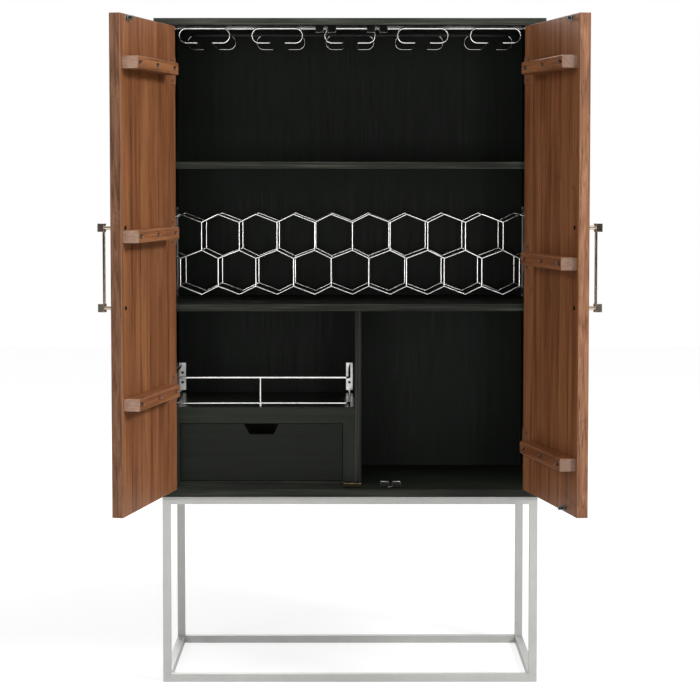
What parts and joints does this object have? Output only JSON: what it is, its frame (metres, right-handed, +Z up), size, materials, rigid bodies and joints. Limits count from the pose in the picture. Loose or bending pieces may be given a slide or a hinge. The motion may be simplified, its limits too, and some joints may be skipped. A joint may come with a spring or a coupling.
{
  "type": "bar armoire",
  "caption": "Bar armoire with plank doors, stemware rack, honeycomb bottle rack, drawer and gallery rail, in a dark wooden carcass on an open square-tube base.",
  "frame": {"origin": "on the floor, at the middle of the base's floor frame", "axes": "+X to the right seen from the front, +Y to the back, +Z up"},
  "size_m": [1.1166, 0.9168, 1.61],
  "materials": {
    "black_stained_wood": "satin, fine grain",
    "oiled_hardwood": "oiled, vertical streaked grain",
    "drawer_wood": "satin",
    "dowel_wood": "plain",
    "satin_steel": "satin silver",
    "chrome_wire": "bright",
    "nickel": "polished",
    "hinge_steel": "satin",
    "screw_steel": "zinc",
    "catch_brass": "satin",
    "ball_steel": "polished"
  },
  "bodies": {
    "cabinet": {"top_panel": "black_stained_wood", "bottom_panel": "black_stained_wood", "left_side_panel": "black_stained_wood", "right_side_panel": "black_stained_wood", "back_panel": "black_stained_wood", "upper_shelf": "black_stained_wood", "lower_shelf": "black_stained_wood", "centre_divider": "black_stained_wood", "housing_deck": "black_stained_wood", "housing_top_rail": "black_stained_wood", "housing_stiles": "black_stained_wood", "housing_bottom_rail": "black_stained_wood", "drawer_runners": "drawer_wood", "carcass_dowels": "dowel_wood", "base_floor_frame": "satin_steel", "base_legs": "satin_steel", "base_top_rails": "satin_steel", "base_mounting_tabs": "satin_steel", "stemware_crossbars": "chrome_wire", "stemware_channels": "chrome_wire", "bottle_rack_front_lattice": "chrome_wire", "bottle_rack_rear_lattice": "chrome_wire", "bottle_rack_end_frames": "chrome_wire", "gallery_top_rail": "chrome_wire", "gallery_bottom_rail": "chrome_wire", "gallery_post": "chrome_wire", "gallery_back_plates": "chrome_wire", "hinge_frame_leaves": "hinge_steel", "hinge_pins": "hinge_steel", "base_screws": "screw_steel", "cabinet_screws": "screw_steel", "catch_housings": "catch_brass", "centre_door_stop": "catch_brass"},
    "left_door": {"left_door_boards": "oiled_hardwood", "left_door_battens": "oiled_hardwood", "left_door_batten_screws": "screw_steel", "left_door_handle": "nickel", "left_door_handle_screws": "screw_steel", "left_door_hinge_leaves": "hinge_steel", "left_door_strikes": "catch_brass", "left_door_fitting_screws": "screw_steel"},
    "right_door": {"right_door_boards": "oiled_hardwood", "right_door_battens": "oiled_hardwood", "right_door_batten_screws": "screw_steel", "right_door_handle": "nickel", "right_door_handle_screws": "screw_steel", "right_door_hinge_leaves": "hinge_steel", "right_door_strikes": "catch_brass", "right_door_fitting_screws": "screw_steel"},
    "drawer": {"drawer_front": "black_stained_wood", "drawer_left_side": "drawer_wood", "drawer_right_side": "drawer_wood", "drawer_back": "drawer_wood", "drawer_bottom": "drawer_wood"},
    "top_left_catch_left_ball": {"top_left_catch_left_ball": "ball_steel"},
    "top_left_catch_right_ball": {"top_left_catch_right_ball": "ball_steel"},
    "top_right_catch_left_ball": {"top_right_catch_left_ball": "ball_steel"},
    "top_right_catch_right_ball": {"top_right_catch_right_ball": "ball_steel"},
    "bottom_right_catch_left_ball": {"bottom_right_catch_left_ball": "ball_steel"},
    "bottom_right_catch_right_ball": {"bottom_right_catch_right_ball": "ball_steel"}
  },
  "joints": [
    {"name": "left_door_hinge", "type": "hinge", "parent": "cabinet", "child": "left_door", "pos_m": [-0.4465, -0.2395, 1.033], "axis": [0, 0, -1], "range_deg": [-101, 74]},
    {"name": "right_door_hinge", "type": "hinge", "parent": "cabinet", "child": "right_door", "pos_m": [0.4465, -0.2395, 1.033], "axis": [0, 0, 1], "range_deg": [-101, 74]},
    {"name": "drawer_slide", "type": "slide", "parent": "cabinet", "child": "drawer", "axis": [0, -1, 0], "range_m": [0, 0.28]},
    {"name": "top_left_catch_left_ball_slide", "type": "slide", "parent": "cabinet", "child": "top_left_catch_left_ball", "axis": [-1, 0, 0], "range_m": [0, 0.0012], "stiffness_N_per_m": 500, "springref_m": -0.002},
    {"name": "top_left_catch_right_ball_slide", "type": "slide", "parent": "cabinet", "child": "top_left_catch_right_ball", "axis": [1, 0, 0], "range_m": [0, 0.0012], "stiffness_N_per_m": 500, "springref_m": -0.002},
    {"name": "top_right_catch_left_ball_slide", "type": "slide", "parent": "cabinet", "child": "top_right_catch_left_ball", "axis": [-1, 0, 0], "range_m": [0, 0.0012], "stiffness_N_per_m": 500, "springref_m": -0.002},
    {"name": "top_right_catch_right_ball_slide", "type": "slide", "parent": "cabinet", "child": "top_right_catch_right_ball", "axis": [1, 0, 0], "range_m": [0, 0.0012], "stiffness_N_per_m": 500, "springref_m": -0.002},
    {"name": "bottom_right_catch_left_ball_slide", "type": "slide", "parent": "cabinet", "child": "bottom_right_catch_left_ball", "axis": [-1, 0, 0], "range_m": [0, 0.0012], "stiffness_N_per_m": 500, "springref_m": -0.002},
    {"name": "bottom_right_catch_right_ball_slide", "type": "slide", "parent": "cabinet", "child": "bottom_right_catch_right_ball", "axis": [1, 0, 0], "range_m": [0, 0.0012], "stiffness_N_per_m": 500, "springref_m": -0.002}
  ]
}
